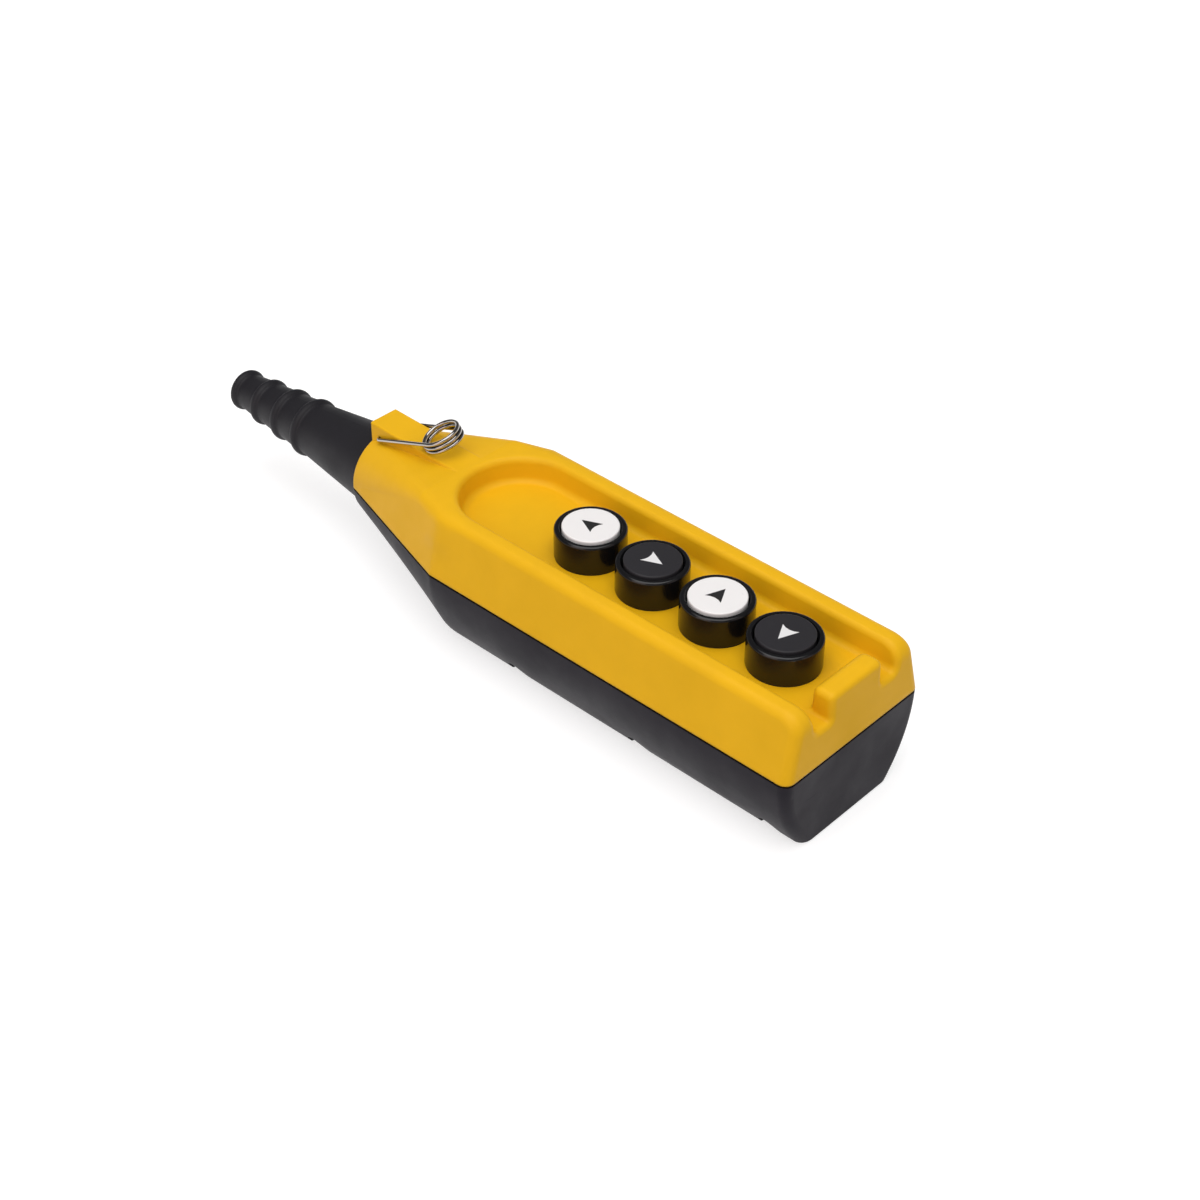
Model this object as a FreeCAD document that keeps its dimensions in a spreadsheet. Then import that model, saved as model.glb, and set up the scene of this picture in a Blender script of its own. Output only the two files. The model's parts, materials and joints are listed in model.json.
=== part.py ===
"""Crane pendant control: a hand-held push-button station that hangs from its cable.

Lengths are in millimetres.  Inside the script every piece is drawn with +Y along the housing from
its end face towards the cable, +X to the right seen from the buttons, and +Z up out of the button
face from the flat back.  Placements then move the pieces to the middle of the overall length.
"""
import FreeCAD, Part
import math
import os
import Sketcher

UP = FreeCAD.Vector(0, 0, 1)
ALONG_Y = FreeCAD.Rotation(FreeCAD.Vector(1, 0, 0), -90)
ALONG_X = FreeCAD.Rotation(FreeCAD.Vector(0, 1, 0), 90)
CLEAR_OF_FACE = 1.0

SIZES = {
    # housing: two shells that meet at the parting plane and taper to a round neck
    "housing_length": 259.8,
    "taper_length": 70.2,
    "body_width": 81.5,
    "parting_height": 38.2,
    "parting_gap": 0.8,
    "cover_height": 27.3,
    "side_lean": 6.75,
    "back_inset": 14.05,
    "back_edge_radius": 1.2,
    "neck_radius": 20.0,
    "neck_flat": 1.5,
    "neck_edge_radius": 8.0,
    "neck_lip": 3.0,
    "shell_wall": 3.0,
    "corner_radius": 4.5,
    "end_lean": 3.8,
    "rim_end_radius": 9.0,
    # button channel, its rounded end and the bar that closes it
    "channel_depth": 11.0,
    "channel_wall_lean": 1.5,
    "channel_overrun": 12.8,
    "channel_edge_radius": 2.8,
    "channel_foot_radius": 3.0,
    "rim_width": 8.3,
    "surround_width": 4.0,
    "surround_corner_radius": 6.0,
    "end_bar_width": 30.6,
    "end_bar_depth": 8.4,
    "end_bar_rise": 0.7,
    "end_bar_foot_radius": 1.4,
    # tongue over the neck that carries the hanger
    "tongue_width": 14.8,
    "tongue_rise": 1.0,
    "tongue_overhang": 0.7,
    "tongue_bury": 1.2,
    "tongue_edge_radius": 0.8,
    "hanger_setback": 5.0,
    "hanger_rise": 2.1,
    "hanger_wire": 1.8,
    "hanger_pin_clearance": 0.05,
    "hanger_pin_depth": 4.0,
    "hanger_side_gap": 0.1,
    "hanger_rest_gap": 0.45,
    "coil_radius": 8.3,
    "coil_distance": 34.0,
    "coil_turns": 2.5,
    "coil_gap": 0.3,
    # housing screws in counterbored pillars
    "screw_inset": 13.45,
    "screw_first": 15.6,
    "screw_pitch": 67.4,
    "counterbore_radius": 5.3,
    "counterbore_depth": 16.0,
    "pillar_radius": 6.8,
    "boss_radius": 5.0,
    "screw_radius": 2.4,
    "screw_tip_margin": 1.5,
    "screw_head_radius": 4.6,
    "screw_head_height": 3.2,
    "screw_clearance": 0.15,
    # gasket in the parting gap
    "gasket_inset": 1.6,
    "gasket_width": 1.6,
    # cable sleeve
    "sleeve_reach": 98.3,
    "sleeve_step": 1.7,
    "sleeve_gap": 0.3,
    "sleeve_groove_depth": 1.6,
    "sleeve_collar_gap": 0.4,
    "sleeve_collar_length": 7.0,
    "sleeve_tip_radius": 9.7,
    "rib_pitch": 15.6,
    "rib_step": 1.37,
    "rib_rise": 1.4,
    "rib_half_width": 2.2,
    "rib_root_radius": 1.2,
    "sleeve_tip_edge": 0.6,
    "cable_radius": 6.5,
    # cable clamp inside the neck
    "clamp_setback": 29.0,
    "clamp_length": 8.0,
    "clamp_width": 34.0,
    "clamp_height": 8.3,
    "clamp_gap": 0.6,
    "clamp_screw_offset": 11.5,
    "clamp_screw_radius": 1.5,
    "clamp_screw_depth": 9.0,
    "clamp_head_radius": 2.8,
    "clamp_head_height": 2.0,
    # buttons
    "button_first": 35.8,
    "button_pitch": 33.6,
    "button_travel": 4.0,
    "cap_radius": 11.8,
    "cap_rise": 0.9,
    "cap_height": 6.6,
    "cap_crown": 2.4,
    "cap_wall": 1.8,
    "cap_edge": 0.6,
    "cap_clearance": 0.6,
    "bezel_radius": 15.0,
    "bezel_height": 13.0,
    "bezel_edge": 1.2,
    "bezel_floor": 2.0,
    "barrel_radius": 11.0,
    "barrel_length": 13.1,
    "barrel_bore": 8.6,
    "barrel_ledge": 2.5,
    "panel_clearance": 0.15,
    "seal_thickness": 0.6,
    "nut_width": 27.0,
    "nut_thickness": 4.5,
    "plunger_radius": 3.8,
    "plunger_head": 4.0,
    "plunger_entry": 4.8,
    "plunger_clearance": 0.35,
    "spring_radius": 6.4,
    "spring_wire": 1.1,
    "spring_turns": 4.0,
    # contact blocks on their plate
    "plate_height": 6.0,
    "plate_thickness": 1.5,
    "plate_margin": 21.0,
    "plate_boss_radius": 3.8,
    "plate_screw_offset": 10.0,
    "plate_screw_inset": 4.5,
    "plate_screw_radius": 1.5,
    "plate_screw_depth": 4.5,
    "plate_head_radius": 2.8,
    "plate_head_height": 1.8,
    "block_clearance": 1.2,
    "block_length": 26.0,
    "block_top": 36.0,
    "block_step": 6.0,
    "block_wall": 1.7,
    "block_floor": 6.5,
    "block_slot_length": 9.0,
    "strip_thickness": 1.2,
    "strip_width": 6.0,
    "strip_inset": 0.5,
    "strip_clearance": 0.1,
    "contact_overlap": 3.5,
    "contact_gap": 0.3,
    "bridge_clearance": 0.8,
    "bridge_width": 5.0,
    "terminal_inset": 3.0,
    "terminal_radius": 1.6,
    "terminal_head_radius": 2.3,
    "terminal_head_height": 2.0,
    "terminal_depth": 8.0,
}

BUTTONS = 4
SCREW_ROWS = 3
RIBS = 4

doc = FreeCAD.newDocument("crane_pendant")
sheet = doc.addObject("Spreadsheet::Sheet", "sizes")
pieces = {}


class Size:
    """A size that knows its number and the sheet expression that drives it."""

    def __init__(self, text, number):
        self.text = text
        self.number = number

    def __add__(self, other):
        return combine(self, "+", other, self.number + number_of(other))

    def __radd__(self, other):
        return combine(other, "+", self, number_of(other) + self.number)

    def __sub__(self, other):
        return combine(self, "-", other, self.number - number_of(other))

    def __rsub__(self, other):
        return combine(other, "-", self, number_of(other) - self.number)

    def __mul__(self, other):
        return combine(self, "*", other, self.number * number_of(other))

    def __rmul__(self, other):
        return combine(other, "*", self, number_of(other) * self.number)

    def __truediv__(self, other):
        return combine(self, "/", other, self.number / number_of(other))

    def __neg__(self):
        return combine(0, "-", self, -self.number)


def number_of(item):
    return item.number if isinstance(item, Size) else float(item)


def text_of(item):
    return item.text if isinstance(item, Size) else repr(float(item))


def combine(first, sign, second, number):
    return Size("({} {} {})".format(text_of(first), sign, text_of(second)), number)


def root(item):
    return Size("sqrt({})".format(item.text), math.sqrt(item.number))


def fill_sheet():
    """Writes every driving size to the sheet and returns them by name."""
    named = {}
    for row, (name, number) in enumerate(SIZES.items(), start=1):
        sheet.set("A{}".format(row), name)
        sheet.set("B{}".format(row), str(number))
        sheet.setAlias("B{}".format(row), name)
        named[name] = Size("sizes." + name, number)
    doc.recompute()
    return named


size = fill_sheet()
overall = size["housing_length"] + size["sleeve_reach"]
body_length = size["housing_length"] - size["taper_length"]
half_width = size["body_width"] / 2
base_rim = size["parting_height"] - size["parting_gap"] / 2
cover_rim = size["parting_height"] + size["parting_gap"] / 2
cover_top = size["parting_height"] + size["cover_height"]
cover_top_half = half_width - size["side_lean"]
back_half = half_width - size["back_inset"]
neck_start = size["housing_length"] - size["neck_lip"]
neck_top = size["parting_height"] + size["neck_radius"]
neck_bottom = size["parting_height"] - size["neck_radius"]
channel_floor = cover_top - size["channel_depth"]
channel_reach = body_length + size["channel_overrun"]
surround_end = channel_reach + size["surround_width"]
tongue_tip = size["housing_length"] + size["tongue_overhang"]
ceiling = channel_floor - size["shell_wall"]
hanger_along = size["housing_length"] - size["hanger_setback"]
hanger_height = neck_top + size["hanger_rise"]
screw_offset = half_width - size["screw_inset"]
screw_length = ceiling - size["screw_tip_margin"] - size["counterbore_depth"]
collar_radius = size["neck_radius"] - size["shell_wall"] - size["sleeve_collar_gap"]
groove_radius = collar_radius - size["sleeve_groove_depth"]
clamp_start = size["housing_length"] - size["clamp_setback"]
clamp_top = size["parting_height"] + size["clamp_height"]
saddle_top = size["parting_height"] - size["clamp_gap"] / 2
seat = channel_floor + size["seal_thickness"]
bezel_top = seat + size["bezel_height"]
barrel_bottom = seat - size["barrel_length"]
ledge_top = barrel_bottom + size["barrel_ledge"]
recess_floor = seat + size["bezel_floor"]
cap_top = bezel_top + size["cap_rise"]
cap_bottom = cap_top - size["cap_height"]
crown_under = cap_top - size["cap_crown"]
head_under = crown_under - size["plunger_head"]
plate_top = size["plate_height"] + size["plate_thickness"]
bridge_top = size["block_top"] - size["plunger_entry"]
strip_top = bridge_top - size["strip_thickness"] - size["button_travel"] - size["contact_gap"]
shoulder = strip_top - size["strip_thickness"]
block_half = screw_offset - size["pillar_radius"] - size["block_clearance"]
tower_half = block_half - size["block_step"]
slot_half = tower_half - size["block_wall"]
bridge_half = slot_half - size["bridge_clearance"]
terminal_offset = block_half - size["terminal_inset"]
terminal_hole = size["terminal_radius"] + size["screw_clearance"]


# Helpers

def bind(item, **sizes):
    for prop, value in sizes.items():
        item.setExpression(prop, text_of(value))


def move(item, x=0, along=0, up=0, turn=None):
    """Puts an item at a point measured from the end face and the flat back."""
    if turn is not None:
        item.Placement = FreeCAD.Placement(FreeCAD.Vector(), turn)
    item.setExpression("Placement.Base.x", text_of(x))
    item.setExpression("Placement.Base.y", text_of(along))
    item.setExpression("Placement.Base.z", text_of(up))


def finish(item, label, along=0, up=0):
    """Labels a finished piece and sets it down in the frame of the whole part."""
    item.Label = label
    move(item, 0, along - overall / 2, up)
    pieces[label] = item


def new_body(name):
    return doc.addObject("PartDesign::Body", name)


def origin_of(body, role):
    return next(item for item in body.Origin.OriginFeatures if item.Role == role)


def new_sketch(body, name, role, offset=None):
    sketch = body.newObject("Sketcher::SketchObject", name)
    sketch.AttachmentSupport = [(origin_of(body, role), "")]
    sketch.MapMode = "FlatFace"
    if offset is not None:
        sketch.setExpression("AttachmentOffset.Base.z", text_of(offset))
    return sketch


def section_at(body, name, along):
    """A sketch across the housing, at a distance from the end face."""
    return new_sketch(body, name, "XZ_Plane", -along if isinstance(along, Size) else -1.0 * along)


def pin_point(sketch, curve, end, x, y):
    for kind, value in (("DistanceX", x), ("DistanceY", y)):
        number = sketch.addConstraint(Sketcher.Constraint(kind, -1, 1, curve, end, number_of(value)))
        sketch.setExpression("Constraints[{}]".format(number), text_of(value))


def set_radius(sketch, curve, radius):
    number = sketch.addConstraint(Sketcher.Constraint("Radius", curve, number_of(radius)))
    sketch.setExpression("Constraints[{}]".format(number), text_of(radius))


def arc_between(start, end, radius, left):
    """The short arc from start to end, whose centre is on the left or right of that way."""
    chord = end - start
    rise = math.sqrt(max(radius ** 2 - chord.Length ** 2 / 4, 0))
    side = UP.cross(chord).normalize()
    centre = (start + end) / 2 + side * (rise if left else -rise)
    first, last = (start, end) if left else (end, start)
    angles = [math.atan2(point.y - centre.y, point.x - centre.x) for point in (first, last)]
    return Part.ArcOfCircle(Part.Circle(centre, UP, radius), *angles)


def outline(sketch, points, arcs=None):
    """Draws a closed loop.  arcs maps a side's number to (radius, centre is on its left)."""
    arcs = arcs or {}
    spots = [FreeCAD.Vector(number_of(x), number_of(y), 0) for x, y in points]
    ends = []
    for side, spot in enumerate(spots):
        following = spots[(side + 1) % len(spots)]
        if side in arcs:
            radius, left = arcs[side]
            curve = sketch.addGeometry(arc_between(spot, following, number_of(radius), left))
            set_radius(sketch, curve, radius)
            ends.append((curve, 1, 2) if left else (curve, 2, 1))
        else:
            ends.append((sketch.addGeometry(Part.LineSegment(spot, following)), 1, 2))
    for side, (curve, first, last) in enumerate(ends):
        before = ends[side - 1]
        sketch.addConstraint(Sketcher.Constraint("Coincident", before[0], before[2], curve, first))
        pin_point(sketch, curve, first, *points[side])


def ring(sketch, x, y, radius):
    spot = FreeCAD.Vector(number_of(x), number_of(y), 0)
    curve = sketch.addGeometry(Part.Circle(spot, UP, number_of(radius)))
    pin_point(sketch, curve, 3, x, y)
    set_radius(sketch, curve, radius)


def rectangle(sketch, x0, y0, x1, y1):
    outline(sketch, [(x0, y0), (x1, y0), (x1, y1), (x0, y1)])


def add(body, kind, name, sketch, reverse=False, both_ways=False, **sizes):
    """Adds a Pad or Pocket of a sketch."""
    feature = body.newObject("PartDesign::" + kind, name)
    feature.Profile = sketch
    feature.Reversed = reverse
    feature.SideType = "Symmetric" if both_ways else "One side"
    bind(feature, **sizes)
    return feature


def turn_about(body, name, sketch, role):
    feature = body.newObject("PartDesign::Revolution", name)
    feature.Profile = sketch
    feature.ReferenceAxis = (origin_of(body, role), [""])
    feature.Angle = 360
    return feature


def loft(body, name, sections, cut=False):
    feature = body.newObject("PartDesign::SubtractiveLoft" if cut else "PartDesign::AdditiveLoft", name)
    feature.Profile = sections[0]
    feature.Sections = sections[1:]
    feature.Ruled = True
    return feature


def fillet(body, name, wanted, **sizes):
    """Rounds the edges of the body so far that the given test picks."""
    doc.recompute()
    base = body.Tip
    edges = ["Edge{}".format(i) for i, edge in enumerate(base.Shape.Edges, start=1) if wanted(edge)]
    feature = body.newObject("PartDesign::Fillet", name)
    feature.Base = (base, edges)
    bind(feature, **sizes)
    return feature


def middle(edge):
    return edge.valueAt((edge.FirstParameter + edge.LastParameter) / 2)


def rod(name, radius, length, x=0, along=0, up=0, turn=None):
    item = doc.addObject("Part::Cylinder", name)
    bind(item, Radius=radius, Height=length)
    move(item, x, along, up, turn)
    return item


def join(name, items):
    item = doc.addObject("Part::MultiFuse", name)
    item.Shapes = items
    return item


def cut(name, base, tool):
    item = doc.addObject("Part::Cut", name)
    item.Base = base
    item.Tool = tool
    return item


def screw(name, head, shank, x, along, seat, upwards):
    """A headed screw: head and shank are (radius, length), and the head stands on the seat."""
    head_base = seat - head[1] if upwards else seat
    shank_base = seat if upwards else seat - shank[1]
    parts = [
        rod(name + "_head", head[0], head[1], x, along, head_base),
        rod(name + "_shank", shank[0], shank[1], x, along, shank_base),
    ]
    return join(name, parts)


def group(items, label):
    """Keeps identical pieces apart as the solids of one node."""
    item = doc.addObject("Part::Compound", label)
    item.Links = items
    finish(item, label)


# Housing

def base_section(sketch, top_half, bottom_half, top, bottom, edge=None):
    """A flat-bottomed bowl whose sides curve down from a vertical tangent at the rim.

    The edge radius, if there is one, rounds the corners between the bottom and the sides.
    """
    spread = top_half - bottom_half
    height = top - bottom
    radius = (spread * spread + height * height) / (2 * spread)
    if edge is None:
        points = [(-bottom_half, bottom), (bottom_half, bottom), (top_half, top), (-top_half, top)]
        outline(sketch, points, {1: (radius, True), 3: (radius, True)})
        return
    centre = top_half - radius
    away = radius - edge
    drop = height - edge
    flat = root(away * away - drop * drop)
    side = centre + flat * radius / away
    side_foot = top - drop * radius / away
    points = [
        (-(centre + flat), bottom), (centre + flat, bottom), (side, side_foot),
        (top_half, top), (-top_half, top), (-side, side_foot),
    ]
    outline(sketch, points, {1: (edge, True), 2: (radius, True), 4: (radius, True), 5: (edge, True)})


def cover_section(sketch, bottom_half, top_half, bottom, top, radius):
    """A flat-topped hood with leaning sides and rounded shoulders."""
    lean = bottom_half - top_half
    height = top - bottom
    slant = root(lean * lean + height * height)
    reach = radius * (slant - lean) / height
    side = top_half + reach * lean / slant
    shoulder = top - reach * height / slant
    flat = top_half - reach
    points = [
        (-bottom_half, bottom), (bottom_half, bottom), (side, shoulder),
        (flat, top), (-flat, top), (-side, shoulder),
    ]
    outline(sketch, points, {2: (radius, True), 4: (radius, True)})


def screw_spots():
    return [
        (side * screw_offset, size["screw_first"] + row * size["screw_pitch"])
        for row in range(SCREW_ROWS) for side in (-1, 1)
    ]


def button_spots():
    """Distances from the end face, with button 1 next to the cable."""
    return [size["button_first"] + (BUTTONS - 1 - i) * size["button_pitch"] for i in range(BUTTONS)]


def rear_base():
    outer = new_body("base_outer")
    bowl = section_at(outer, "bowl_section", 0.0)
    base_section(bowl, half_width, back_half, base_rim, 0)
    add(outer, "Pad", "bowl", bowl, reverse=True, Length=body_length)

    def on_end_corner(edge):
        return edge.BoundBox.YMax < 1e-3 and edge.BoundBox.ZLength > base_rim.number / 2

    def round_the_back(edge):
        return edge.BoundBox.ZMax < 1e-3 and edge.BoundBox.YMin < body_length.number - 1e-3

    fillet(outer, "end_corners", on_end_corner, Radius=size["corner_radius"])
    fillet(outer, "back_edges", round_the_back, Radius=size["back_edge_radius"])
    sections = [
        section_at(outer, "body_end", body_length),
        section_at(outer, "neck_end", size["housing_length"]),
    ]
    neck_edge = size["neck_edge_radius"]
    base_section(sections[0], half_width, back_half, base_rim, 0, size["back_edge_radius"])
    base_section(sections[1], size["neck_radius"], size["neck_flat"], base_rim, neck_bottom, neck_edge)
    loft(outer, "taper", sections)

    inner = new_body("base_room")
    wall = size["shell_wall"]
    sections = []
    for along in (wall, body_length):
        sections.append(section_at(inner, "section", along))
        base_section(
            sections[-1], half_width - wall, back_half - wall / 2, base_rim, wall, size["back_edge_radius"])
    sections.append(section_at(inner, "section", neck_start))
    neck_room = size["neck_radius"] - wall
    base_section(
        sections[-1], neck_room, size["neck_flat"], base_rim, neck_bottom + wall, neck_edge)
    loft(inner, "room", sections)

    stays = []
    for i, (x, along) in enumerate(screw_spots()):
        stays.append(rod("pillar_{}".format(i), size["pillar_radius"], base_rim, x, along))
    for i, (x, along) in enumerate(plate_screw_spots()):
        boss = size["plate_boss_radius"]
        stays.append(rod("plate_boss_{}".format(i), boss, size["plate_height"], x, along))
    saddle = doc.addObject("Part::Box", "clamp_saddle")
    bind(saddle, Length=size["clamp_width"], Width=size["clamp_length"], Height=saddle_top)
    move(saddle, -size["clamp_width"] / 2, clamp_start, 0)
    stays.append(saddle)
    room = cut("base_hollow", inner, join("base_stays", stays))
    shell = cut("base_shell", outer, room)

    holes = []
    for i, (x, along) in enumerate(screw_spots()):
        wide = size["counterbore_radius"]
        narrow = size["screw_radius"] + size["screw_clearance"]
        holes.append(rod("counterbore_{}".format(i), wide, size["counterbore_depth"], x, along))
        holes.append(rod("shank_hole_{}".format(i), narrow, base_rim, x, along))
    for i, (x, along) in enumerate(plate_screw_spots()):
        hole = size["plate_screw_radius"] + size["screw_clearance"]
        depth = size["plate_screw_depth"] - size["plate_thickness"]
        holes.append(rod("plate_hole_{}".format(i), hole, depth, x, along, size["plate_height"] - depth))
    for i, x in enumerate((-size["clamp_screw_offset"], size["clamp_screw_offset"])):
        hole = size["clamp_screw_radius"] + size["screw_clearance"]
        depth = size["clamp_screw_depth"]
        along = clamp_start + size["clamp_length"] / 2
        holes.append(rod("clamp_hole_{}".format(i), hole, depth, x, along, saddle_top - depth))
    holes.append(neck_hole("base_neck_hole"))
    holes.append(cable_way("base_cable_way"))
    finish(cut("rear_base", shell, join("base_holes", holes)), "rear_base")


def neck_hole(name):
    """The round hole in the neck's end that sits in the sleeve's groove."""
    radius = groove_radius + size["sleeve_gap"]
    length = size["neck_lip"] + 2 * CLEAR_OF_FACE
    return rod(name, radius, length, 0, neck_start - CLEAR_OF_FACE, size["parting_height"], ALONG_Y)


def cable_way(name):
    start = clamp_start - CLEAR_OF_FACE
    length = size["clamp_length"] + 2 * CLEAR_OF_FACE
    return rod(name, size["cable_radius"], length, 0, start, size["parting_height"], ALONG_Y)


def plate_screw_spots():
    first = size["button_first"] - size["plate_margin"] + size["plate_screw_inset"]
    last = size["button_first"] + (BUTTONS - 1) * size["button_pitch"] + size["plate_margin"]
    last = last - size["plate_screw_inset"]
    return [(side * size["plate_screw_offset"], along) for along in (first, last) for side in (-1, 1)]


def front_cover():
    outer = new_body("cover_outer")
    hood = section_at(outer, "hood_section", 0.0)
    top_half = cover_top_half
    top = cover_top
    outline(hood, [(-half_width, cover_rim), (half_width, cover_rim), (top_half, top), (-top_half, top)])
    add(outer, "Pad", "hood", hood, reverse=True, Length=body_length)

    # the end face leans back and rolls over into the rims
    height = top - cover_rim
    lean = size["end_lean"]
    slant = root(lean * lean + height * height)
    radius = size["rim_end_radius"]
    roll_centre = lean * (height - radius) / height + radius * slant / height
    end_view = new_sketch(outer, "end_view", "YZ_Plane")
    outside = 0.0 - CLEAR_OF_FACE
    above = top + CLEAR_OF_FACE
    points = [
        (0, cover_rim), (roll_centre - radius * height / slant, top - radius + radius * lean / slant),
        (roll_centre, top), (roll_centre, above), (outside, above), (outside, cover_rim),
    ]
    outline(end_view, points, {1: (radius, False)})
    add(outer, "Pocket", "leaning_end", end_view, both_ways=True, Length=size["body_width"])

    def on_shoulder(edge):
        spot = middle(edge)
        side = half_width.number - (spot.z - cover_rim.number) * size["side_lean"].number / height.number
        inside = spot.y < body_length.number - 1e-3
        return abs(abs(spot.x) - side) < 1e-3 and spot.z > cover_rim.number + 1e-3 and inside

    fillet(outer, "shoulders", on_shoulder, Radius=size["corner_radius"])

    # taper from the body to the round neck, flat on top as far as the channel's surround
    narrowing = (half_width - size["neck_radius"]) * (surround_end - body_length) / size["taper_length"]
    sections = [
        section_at(outer, "body_end", body_length),
        section_at(outer, "surround_end", surround_end),
        section_at(outer, "neck_end", size["housing_length"]),
    ]
    cover_section(sections[0], half_width, top_half, cover_rim, top, size["corner_radius"])
    cover_section(
        sections[1], half_width - narrowing, top_half - narrowing, cover_rim, top,
        size["surround_corner_radius"])
    cover_section(
        sections[2], size["neck_radius"], size["neck_radius"], cover_rim, neck_top,
        size["neck_radius"] - size["neck_flat"])
    loft(outer, "taper", sections)

    # the channel that the buttons stand in
    mouth_half = top_half - size["rim_width"]
    floor_half = mouth_half - size["channel_wall_lean"]
    widening = size["channel_wall_lean"] / size["channel_depth"]
    turn_start = channel_reach - mouth_half
    over_mouth = size["channel_depth"] + CLEAR_OF_FACE
    levels = []
    for name, rise in (("channel_floor", 0.0 * over_mouth), ("channel_mouth", over_mouth)):
        level = new_sketch(outer, name, "XY_Plane", channel_floor + rise)
        half = floor_half + widening * rise
        tip = turn_start + half
        points = [(-half, outside), (half, outside), (half, turn_start), (0, tip), (-half, turn_start)]
        outline(level, points, {2: (half, True), 3: (half, True)})
        levels.append(level)
    loft(outer, "channel", levels, cut=True)

    def wall_offset(spot):
        """How far a point lies outside the channel's leaning wall."""
        half = floor_half.number + widening.number * (spot.z - channel_floor.number)
        past_turn = max(spot.y - turn_start.number, 0)
        return math.hypot(spot.x, past_turn) - half

    def on_foot(edge):
        spot = middle(edge)
        return abs(wall_offset(spot)) < 1e-3 and abs(spot.z - channel_floor.number) < 1e-3

    fillet(outer, "channel_foot_edge", on_foot, Radius=size["channel_foot_radius"])

    # the bar that closes the channel's open end
    bar_view = new_sketch(outer, "bar_view", "YZ_Plane")
    bar_top = top + size["end_bar_rise"]
    bar_foot = channel_floor - CLEAR_OF_FACE
    front_at_top = lean * (bar_top - cover_rim) / height
    back = front_at_top + size["end_bar_depth"]
    front_at_foot = lean * (bar_foot - cover_rim) / height
    outline(bar_view, [(front_at_foot, bar_foot), (back, bar_foot), (back, bar_top), (front_at_top, bar_top)])
    add(outer, "Pad", "end_bar", bar_view, both_ways=True, Length=size["end_bar_width"])
    bar_half = size["end_bar_width"].number / 2

    def beside_bar(spot):
        return abs(abs(spot.x) - bar_half) < 1e-3 or abs(spot.y - back.number) < 1e-3

    def on_bar_foot(edge):
        spot = middle(edge)
        return beside_bar(spot) and abs(spot.z - channel_floor.number) < 1e-3

    fillet(outer, "end_bar_foot", on_bar_foot, Radius=size["end_bar_foot_radius"])

    bar_rise = (bar_top - channel_floor - size["end_bar_foot_radius"]).number

    def on_skyline(edge):
        """The channel's mouth, the outline of the notches on the end face, and the edges of the bar."""
        spot = middle(edge)
        box = edge.BoundBox
        on_end = box.YMax < roll_centre.number + 1e-3 and box.ZMax > channel_floor.number - 1e-3
        on_top = box.ZMin > top.number - 1e-3
        on_bar_back = beside_bar(spot) and abs(box.ZLength - bar_rise) < 1e-3
        return wall_offset(spot) < 1e-3 and (on_end or on_top or on_bar_back)

    fillet(outer, "channel_edges", on_skyline, Radius=size["channel_edge_radius"])

    hull = join("cover_hull", [outer, tongue()])

    inner = new_body("cover_room")
    wall = size["shell_wall"]
    side_lean = size["side_lean"] * (ceiling - cover_rim) / height
    room_half = half_width - wall
    sections = []
    for along in (wall + lean, body_length):
        sections.append(section_at(inner, "section", along))
        cover_section(sections[-1], room_half, room_half - side_lean, cover_rim, ceiling, wall)
    sections.append(section_at(inner, "section", neck_start))
    neck_room = size["neck_radius"] - wall
    cover_section(
        sections[-1], neck_room, neck_room, cover_rim, size["parting_height"] + neck_room,
        neck_room - size["neck_flat"])
    loft(inner, "room", sections)

    bosses = [
        rod("boss_{}".format(i), size["boss_radius"], ceiling, x, along)
        for i, (x, along) in enumerate(screw_spots())
    ]
    shell = cut("cover_shell", hull, cut("cover_hollow", inner, join("cover_bosses", bosses)))

    holes = []
    for i, along in enumerate(button_spots()):
        hole = size["barrel_radius"] + size["panel_clearance"]
        length = size["shell_wall"] + 2 * CLEAR_OF_FACE
        holes.append(rod("panel_hole_{}".format(i), hole, length, 0, along, ceiling - CLEAR_OF_FACE))
    depth = size["counterbore_depth"] + screw_length + size["screw_tip_margin"] / 2
    for i, (x, along) in enumerate(screw_spots()):
        hole = size["screw_radius"] + size["screw_clearance"]
        holes.append(rod("screw_hole_{}".format(i), hole, depth, x, along))
    pin = size["hanger_wire"] / 2 + size["hanger_pin_clearance"]
    width = size["tongue_width"] + 2 * CLEAR_OF_FACE
    holes.append(rod("hanger_hole", pin, width, -width / 2, hanger_along, hanger_height, ALONG_X))
    holes.append(neck_hole("cover_neck_hole"))
    finish(cut("front_cover", shell, join("cover_holes", holes)), "front_cover")


def tongue_top_at(along):
    """The height of the tongue's top, which rises slowly out of the surround."""
    return cover_top + size["tongue_rise"] * (along - surround_end) / (tongue_tip - surround_end)


def tongue():
    """The bar along the top of the neck."""
    body = new_body("tongue")
    view = new_sketch(body, "side_view", "YZ_Plane")
    tip = tongue_tip
    start = surround_end - size["surround_width"] / 2
    low = neck_top - size["tongue_bury"]
    start_top = tongue_top_at(start)
    tip_top = tongue_top_at(tip)
    outline(view, [(start, low), (tip, low), (tip, tip_top), (start, start_top)])
    add(body, "Pad", "bar", view, both_ways=True, Length=size["tongue_width"])
    half = size["tongue_width"].number / 2

    def on_show(edge):
        spot = middle(edge)
        beside_top = abs(abs(spot.x) - half) < 1e-3 and spot.z > start_top.number - 1e-3
        at_tip = abs(spot.y - tip.number) < 1e-3 and spot.z > low.number + 1e-3
        return beside_top or at_tip

    fillet(body, "edges", on_show, Radius=size["tongue_edge_radius"])
    return body


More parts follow.
